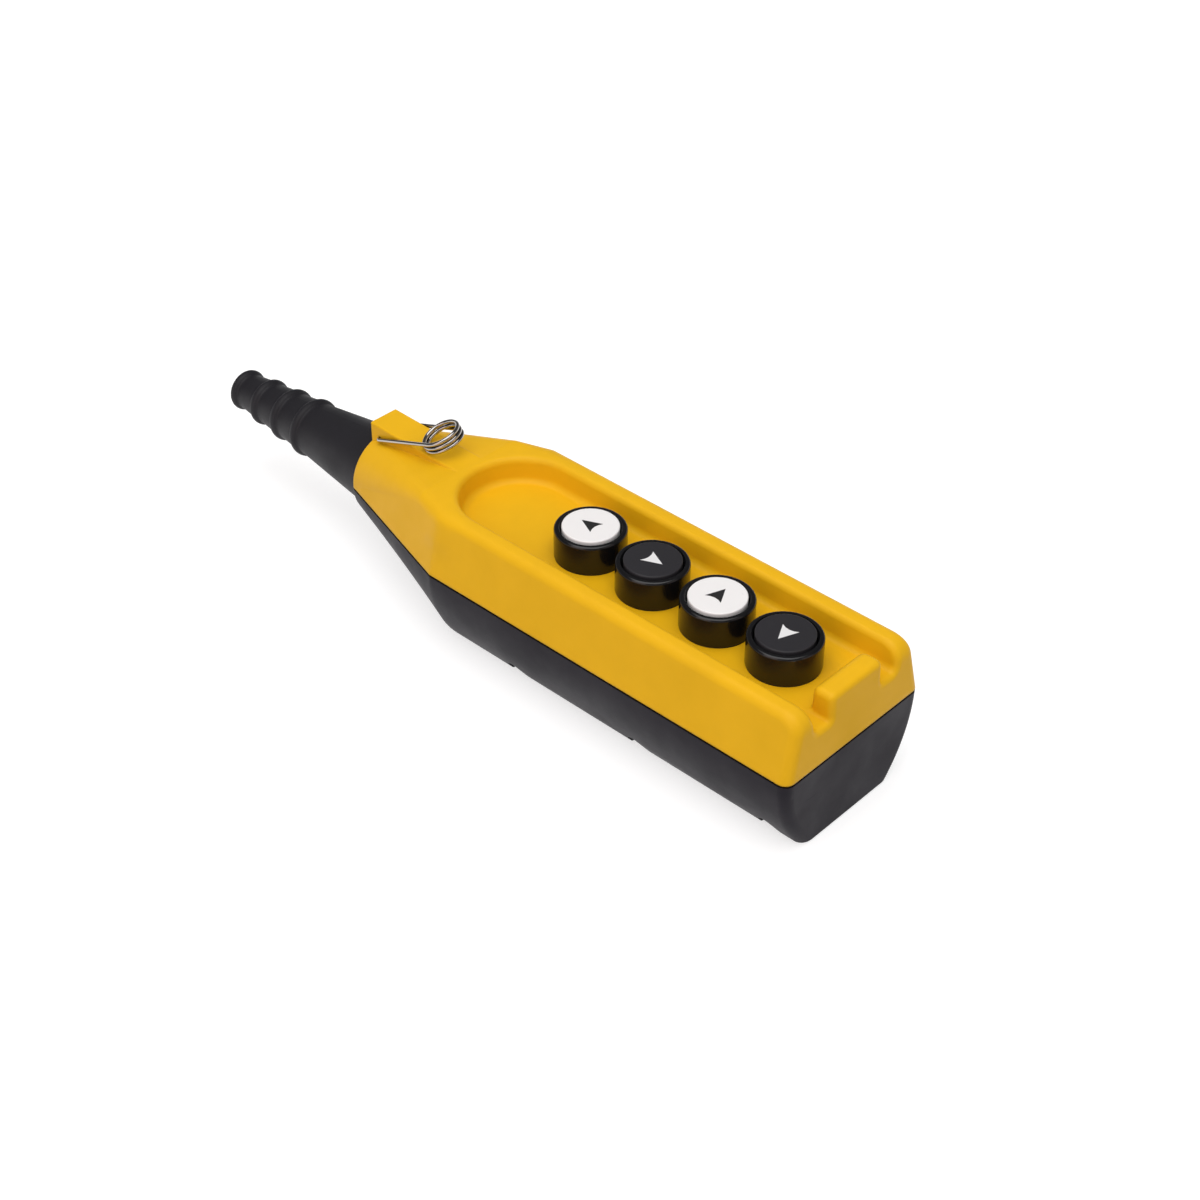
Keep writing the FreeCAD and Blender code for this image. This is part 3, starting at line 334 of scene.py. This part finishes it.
YELLOW = (0.835, 0.465, 0.008)
DARK_GREY = (0.0105, 0.0083, 0.0146)
BLACK = (0.006, 0.006, 0.007)
CHARCOAL = (0.0285, 0.0275, 0.0315)
RUBBER = (0.0172, 0.0165, 0.0205)
SEAL = (0.012, 0.012, 0.012)
WHITE = (0.85, 0.84, 0.835)
MID_GREY = (0.12, 0.12, 0.13)
CREAM = (0.55, 0.53, 0.48)
BRIGHT_STEEL = (0.52, 0.49, 0.46)
OILED_STEEL = (0.40, 0.40, 0.41)
ZINC = (0.58, 0.59, 0.60)
SHEET_ZINC = (0.60, 0.61, 0.61)
BRASS = (0.72, 0.52, 0.22)

FINISHES = {
    "yellow_cover": finish(
        "yellow_plastic", YELLOW, worn=(0.90, 0.60, 0.10), gloss=(0.36, 0.50), wave=1.2, wear=0.35,
        shade=0.93, specular=0.15, soft_edge=1.2 * MM),
    # its rim top at the parting is painted near black, for the shade in the gap
    "dark_base": finish(
        "dark_grey_plastic", DARK_GREY, worn=(0.09, 0.09, 0.095), gloss=(0.42, 0.56), wave=0.8,
        wear=0.45, shade=0.85, specular=0.15, soft_edge=1.0 * MM, gap_shade_above=37.65 * MM),
    "rubber_sleeve": finish(
        "sleeve_rubber", RUBBER, worn=(0.04, 0.04, 0.042), gloss=(0.46, 0.62), grain_scale=2600.0,
        wear=0.6, scratches=0.1, shade=0.8, specular=0.26),
    "rubber_seal": finish(
        "seal_rubber", SEAL, worn=(0.03, 0.03, 0.03), gloss=(0.6, 0.75), wear=0.2),
    "black_bezel": finish(
        "bezel_plastic", BLACK, worn=(0.05, 0.05, 0.052), gloss=(0.14, 0.24), grain_depth=0.003 * MM,
        shade=0.8, specular=0.45),
    "black_cap": finish(
        "black_cap_plastic", CHARCOAL, worn=(0.05, 0.05, 0.052), gloss=(0.34, 0.48),
        grain_depth=0.006 * MM, wear=0.4, shade=0.85, specular=0.22),
    "white_cap": finish(
        "white_cap_plastic", WHITE, worn=(0.72, 0.72, 0.70), gloss=(0.27, 0.36),
        grain_depth=0.003 * MM, wear=0.2, scratches=0.1, shade=0.985),
    "inner_plastic": finish(
        "inner_grey_plastic", MID_GREY, worn=(0.2, 0.2, 0.2), gloss=(0.4, 0.55)),
    "block_plastic": finish(
        "block_light_plastic", CREAM, worn=(0.6, 0.58, 0.54), gloss=(0.4, 0.55)),
    # painted shade darkens the wire between its coil turns
    "bright_wire": finish(
        "bright_spring_wire", BRIGHT_STEEL, worn=(0.58, 0.56, 0.53), gloss=(0.07, 0.13),
        grain_scale=400.0, grain_depth=0.0015 * MM, wave=0.0, wear=0.2, scratches=0.6, shade=0.85,
        metallic=1.0, occlusion_shade=(0.03, 0.026, 0.022)),
    "zinc_screw": finish(
        "zinc_plated_steel", ZINC, worn=(0.7, 0.7, 0.7), gloss=(0.28, 0.42), grain_depth=0.005 * MM,
        shade=0.85, metallic=1.0),
    "zinc_plate": finish(
        "zinc_plated_sheet", SHEET_ZINC, worn=(0.7, 0.7, 0.7), gloss=(0.30, 0.45),
        grain_depth=0.005 * MM, shade=0.85, metallic=1.0),
    "spring_steel": finish(
        "oiled_spring_steel", OILED_STEEL, worn=(0.5, 0.5, 0.5), gloss=(0.25, 0.4),
        grain_depth=0.004 * MM, shade=0.8, metallic=1.0),
    "contact_brass": finish(
        "contact_brass", BRASS, worn=(0.8, 0.6, 0.3), gloss=(0.28, 0.42), grain_depth=0.004 * MM,
        shade=0.8, metallic=1.0),
}
BLACK_INK = finish(
    "black_ink", (0.016, 0.016, 0.017), worn=(0.03, 0.03, 0.03), gloss=(0.42, 0.55),
    grain_depth=0.004 * MM)
WHITE_INK = finish(
    "white_ink", (0.80, 0.80, 0.80), worn=(0.7, 0.7, 0.7), gloss=(0.42, 0.55),
    grain_depth=0.004 * MM)


def dress_nodes():
    """Gives every carried-over node the finish of its slot."""
    for entry in frame["record"]["subparts"]:
        mesh = frame["nodes"][entry["node"]].data
        mesh.materials.clear()
        mesh.materials.append(FINISHES[entry["material_slot"]])


# Added pieces

def new_piece(name, shape, material, body):
    """Turns a finished bmesh into a piece that rides on a body."""
    bmesh.ops.recalc_face_normals(shape, faces=shape.faces)
    mesh = bpy.data.meshes.new(name)
    shape.to_mesh(mesh)
    shape.free()
    mesh.materials.append(material)
    piece = bpy.data.objects.new(name, mesh)
    bpy.context.scene.collection.objects.link(piece)
    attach(piece, body)
    return piece


def corner_points(items):
    """The vertices among the results of a bmesh operator."""
    return [item for item in items if isinstance(item, bmesh.types.BMVert)]


def merged_copy(node):
    """A carried-over node as a merged bmesh, with its shading in a layer of its corners."""
    source = frame["nodes"][node].data
    shape = bmesh.new()
    shape.from_mesh(source)
    shading = shape.loops.layers.float_vector.new("shading")
    corners = [corner for face in shape.faces for corner in face.loops]
    for corner, normal in zip(corners, source.corner_normals):
        corner[shading] = normal.vector
    bmesh.ops.remove_doubles(shape, verts=shape.verts, dist=MERGE_GAP)
    return shape


def stand_for(node, name, shape, slot):
    """Puts a reshaped copy on the housing in place of its node, with the shading that it carries."""
    piece = new_piece(name, shape, FINISHES[slot], "housing")
    shading = [corner.vector for corner in piece.data.attributes["shading"].data]
    piece.data.normals_split_custom_set(shading)
    piece.data.attributes.remove(piece.data.attributes["shading"])
    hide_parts(node)
    return piece


def upright_cover():
    """The front cover with its end face set upright."""
    foot = Vector(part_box("front_cover")[0])
    shape = merged_copy("front_cover")
    for point in shape.verts:
        # 1 from the end face to END_HELD, then easing to 0 at END_REACH
        hold = (END_REACH - (point.co.y - foot.y)) / (END_REACH - END_HELD)
        hold = min(max(hold, 0.0), 1.0)
        rise = (point.co.z - foot.z) / COVER_HEIGHT
        point.co.y -= END_STRAIGHTENED * rise * hold * hold * (3 - 2 * hold)
    stand_for("front_cover", "front_cover_shell", shape, "yellow_cover")


def return_coil(number):
    """A button's return spring: a merged copy of its node, with a mesh of its own."""
    node = "return_spring_{}".format(number)
    coil = stand_for(node, "return_coil_{}".format(number), merged_copy(node), "spring_steel")
    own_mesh(coil)


def cap_middle(number):
    """The middle of a cap's top."""
    low, high = (Vector(corner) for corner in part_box("button_cap_{}".format(number)))
    return Vector(((low.x + high.x) / 2, (low.y + high.y) / 2, high.z))


def printed_arrow(number):
    """An arrowhead with a hollow back, printed on a cap."""
    shape = bmesh.new()
    corners = [
        (ARROW_TIP, 0.0),
        (ARROW_BACK, ARROW_HALF_WIDTH),
        (ARROW_NOTCH - ARROW_BOW, ARROW_HALF_WIDTH / 2),
        (ARROW_NOTCH, 0.0),
        (ARROW_NOTCH - ARROW_BOW, -ARROW_HALF_WIDTH / 2),
        (ARROW_BACK, -ARROW_HALF_WIDTH),
    ]
    outline = shape.faces.new([shape.verts.new((x, y, 0.0)) for x, y in corners])
    raised = bmesh.ops.extrude_face_region(shape, geom=[outline])["geom"]
    bmesh.ops.translate(shape, verts=corner_points(raised), vec=(0.0, 0.0, INK_THICKNESS))
    turn = Matrix.Rotation(math.radians(ARROW_TURNS[number]), 4, "Z")
    bmesh.ops.transform(shape, verts=shape.verts, matrix=Matrix.Translation(cap_middle(number)) @ turn)
    ink = BLACK_INK if number in WHITE_BUTTONS else WHITE_INK
    new_piece("arrow_{}".format(number), shape, ink, "button_{}".format(number))


def in_recess(face):
    """Whether a face of the screw head's grid belongs to the cross."""
    middle = face.calc_center_median()
    return min(abs(middle.x), abs(middle.y)) <= RECESS_HALF_WIDTH and middle.length < RECESS_ARM


def screw_head(shape):
    """A cheese head seen from its top: a grid whose middle cross sinks in and whose rim turns round."""
    # the grid's lines at 0.5, 1.5 and 2.5 go to the cross's width, its arms and the rim
    bmesh.ops.create_grid(shape, x_segments=5, y_segments=5, size=2.5)
    lines = (RECESS_HALF_WIDTH, RECESS_ARM, HEAD_RADIUS)
    for corner in shape.verts:
        steps = [int(abs(value)) for value in corner.co.xy]
        flat = Vector([math.copysign(lines[step], value) for step, value in zip(steps, corner.co.xy)])
        if 2 in steps:
            flat = flat.normalized() * HEAD_RADIUS
        corner.co.xy = flat
    cross = [face for face in shape.faces if in_recess(face)]
    rim = [edge for edge in shape.edges if edge.is_boundary]
    floor = corner_points(bmesh.ops.extrude_face_region(shape, geom=cross)["geom"])
    bmesh.ops.delete(shape, geom=cross, context="FACES_ONLY")
    bmesh.ops.translate(shape, verts=floor, vec=(0.0, 0.0, -RECESS_DEPTH))
    bmesh.ops.scale(shape, verts=floor, vec=(RECESS_TAPER, RECESS_TAPER, 1.0))
    side = bmesh.ops.extrude_edge_only(shape, edges=rim)["geom"]
    bmesh.ops.translate(shape, verts=corner_points(side), vec=(0.0, 0.0, -HEAD_HEIGHT))
    under = [item for item in side if isinstance(item, bmesh.types.BMEdge)]
    bmesh.ops.contextual_create(shape, geom=under)
    bmesh.ops.bevel(
        shape, geom=rim, offset=HEAD_EDGE, offset_type="OFFSET", affect="EDGES", segments=3, profile=0.5,
        material=-1)


def screw_thread(shape, length):
    """The core of the shank and the ridge that winds round it."""
    core = SHANK_RADIUS - THREAD_DEPTH
    bmesh.ops.create_cone(
        shape, cap_ends=True, segments=SHANK_SIDES, radius1=core * SHANK_TAPER, radius2=core, depth=length,
        matrix=Matrix.Translation((0.0, 0.0, -HEAD_HEIGHT - length / 2)))
    turns = math.floor(length / THREAD_PITCH) - 1
    start = -HEAD_HEIGHT - length + THREAD_PITCH / 2
    root = core * RIDGE_ROOT
    across = [(root, -RIDGE_HALF_WIDTH), (SHANK_RADIUS, 0.0), (root, RIDGE_HALF_WIDTH)]
    ridge = shape.faces.new([shape.verts.new((x, 0.0, start + z)) for x, z in across])
    bmesh.ops.spin(
        shape, geom=[ridge, *ridge.edges, *ridge.verts], cent=(0.0, 0.0, 0.0), axis=(0.0, 0.0, 1.0),
        angle=turns * 2 * math.pi, dvec=(0.0, 0.0, THREAD_PITCH / THREAD_STEPS),
        steps=turns * THREAD_STEPS)


def housing_screw_set():
    """The six screws that hold the shells together, with their recessed heads to the back."""
    low, high = (Vector(corner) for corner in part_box("housing_screws"))
    one = bmesh.new()
    screw_head(one)
    screw_thread(one, high.z - low.z - HEAD_HEIGHT)
    bmesh.ops.rotate(one, verts=one.verts, cent=(0, 0, 0), matrix=Matrix.Rotation(math.pi, 3, "X"))
    pattern = bpy.data.meshes.new("screw_pattern")
    one.to_mesh(pattern)
    one.free()
    shape = bmesh.new()
    inset = Vector((HEAD_RADIUS, HEAD_RADIUS))
    first, last = low.xy + inset, high.xy - inset
    for x in (first.x, last.x):
        for row in range(SCREW_ROWS):
            before = len(shape.verts)
            shape.from_mesh(pattern)
            shape.verts.ensure_lookup_table()
            screw = shape.verts[before:]
            turn = Matrix.Rotation(TURN_PER_ROW * row + TURN_PER_METRE * x, 3, "Z")
            bmesh.ops.rotate(shape, verts=screw, cent=(0, 0, 0), matrix=turn)
            place = (x, first.y + (last.y - first.y) * row / (SCREW_ROWS - 1), low.z)
            bmesh.ops.translate(shape, verts=screw, vec=place)
    bpy.data.meshes.remove(pattern)
    screws = new_piece("housing_screw_set", shape, FINISHES["zinc_screw"], "housing")
    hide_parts("housing_screws")


# Studio

def look_from_photo():
    """Sets the camera where the photograph was taken from."""
    azimuth, elevation = CAMERA_AZIMUTH, CAMERA_ELEVATION
    back = Vector((
        math.sin(azimuth) * math.cos(elevation),
        -math.cos(azimuth) * math.cos(elevation),
        math.sin(elevation)))
    right = Vector((math.cos(azimuth), math.sin(azimuth), 0.0))
    level = Matrix((right, back.cross(right), back)).transposed()
    data = bpy.data.cameras.new("photo_view")
    data.lens = CAMERA_LENS
    data.sensor_width = SENSOR_WIDTH
    data.clip_start = 0.01
    camera = bpy.data.objects.new("photo_view", data)
    turned = level.to_4x4() @ Matrix.Rotation(CAMERA_ROLL, 4, "Z")
    camera.matrix_world = Matrix.Translation(CAMERA_TARGET + back * CAMERA_DISTANCE) @ turned
    bpy.context.scene.collection.objects.link(camera)
    bpy.context.scene.camera = camera


def soft_box(name, place, side, power, tint):
    """A square lamp that faces the middle of the studio."""
    data = bpy.data.lights.new(name, "AREA")
    data.size = side
    data.energy = power
    data.color = tint
    lamp = bpy.data.objects.new(name, data)
    lamp.location = place
    lamp.rotation_euler = (STUDIO_MIDDLE - Vector(place)).to_track_quat("-Z", "Y").to_euler()
    bpy.context.scene.collection.objects.link(lamp)


def seen_ray(nodes):
    """1 for rays that show the background: straight from the camera, mirrored or through glass."""
    path = nodes.add("ShaderNodeLightPath").outputs
    seen = nodes.maths("MAXIMUM", path["Is Camera Ray"], path["Is Glossy Ray"])
    return nodes.maths("MAXIMUM", seen, path["Is Transmission Ray"])


def white_floor():
    """A pale floor that looks white and keeps the shadow; its glow grows where the lamps don't reach."""
    shape = bmesh.new()
    bmesh.ops.create_grid(shape, x_segments=1, y_segments=1, size=FLOOR_HALF_SIZE)
    bmesh.ops.translate(shape, verts=shape.verts, vec=(0.0, 0.0, -FLOOR_DROP))
    mesh = bpy.data.meshes.new("floor")
    shape.to_mesh(mesh)
    shape.free()
    material = bpy.data.materials.new("white_floor")
    material.use_nodes = True
    nodes = Nodes(material.node_tree)
    matt = material.node_tree.nodes["Principled BSDF"]
    matt.inputs["Base Color"].default_value = (FLOOR_GREY, FLOOR_GREY, FLOOR_GREY, 1.0)
    matt.inputs["Roughness"].default_value = 0.9
    matt.inputs["Specular IOR Level"].default_value = 0.1
    matt.inputs["Emission Color"].default_value = (1.0, 1.0, 1.0, 1.0)
    away = nodes.add("ShaderNodeVectorMath", {"Vector": nodes.place()}, operation="LENGTH")
    glow = nodes.between(away.outputs["Value"], FLOOR_NEAR, FLOOR_FAR, NEAR_GLOW, FAR_GLOW)
    nodes.feed(matt.inputs["Emission Strength"], nodes.maths("MULTIPLY", seen_ray(nodes), glow))
    mesh.materials.append(material)
    floor = bpy.data.objects.new("floor", mesh)
    bpy.context.scene.collection.objects.link(floor)


def white_room():
    """A surround that is white where it is seen, dimmer as light, and darker upwards in mirrors."""
    world = bpy.data.worlds.new("white_room")
    bpy.context.scene.world = world
    world.use_nodes = True
    nodes = Nodes(world.node_tree)
    sky = world.node_tree.nodes["Background"]
    sky.inputs["Color"].default_value = (1.0, 1.0, 1.0, 1.0)
    path = nodes.add("ShaderNodeLightPath").outputs
    glossy = path["Is Glossy Ray"]
    direction = nodes.add("ShaderNodeTexCoord").outputs["Generated"]
    dimmed = nodes.between(nodes.axes(direction)["Z"], 0.0, MIRRORED_HEIGHT, 1.0, MIRRORED_DIM)
    mirrored = nodes.maths("MULTIPLY", dimmed, glossy)
    seen = nodes.maths("MAXIMUM", path["Is Camera Ray"], path["Is Transmission Ray"])
    direct = nodes.maths("MAXIMUM", seen, ROOM_LIGHT)
    direct = nodes.maths("MULTIPLY", direct, nodes.maths("SUBTRACT", 1.0, glossy))
    nodes.feed(sky.inputs["Strength"], nodes.maths("ADD", direct, mirrored))


dress_nodes()
upright_cover()
for button in BUTTONS:
    printed_arrow(button)
    return_coil(button)
housing_screw_set()
look_from_photo()
white_floor()
white_room()
soft_box("top_box", (-0.25, -0.15, 1.5), side=1.6, power=17.0, tint=NEUTRAL)
soft_box("left_box", (-1.5, -0.1, 0.9), side=1.2, power=6.5, tint=WARM)
soft_box("front_box", (0.3, -1.7, 0.8), side=1.0, power=1.8, tint=WARM)
bpy.context.scene.view_settings.view_transform = "Standard"
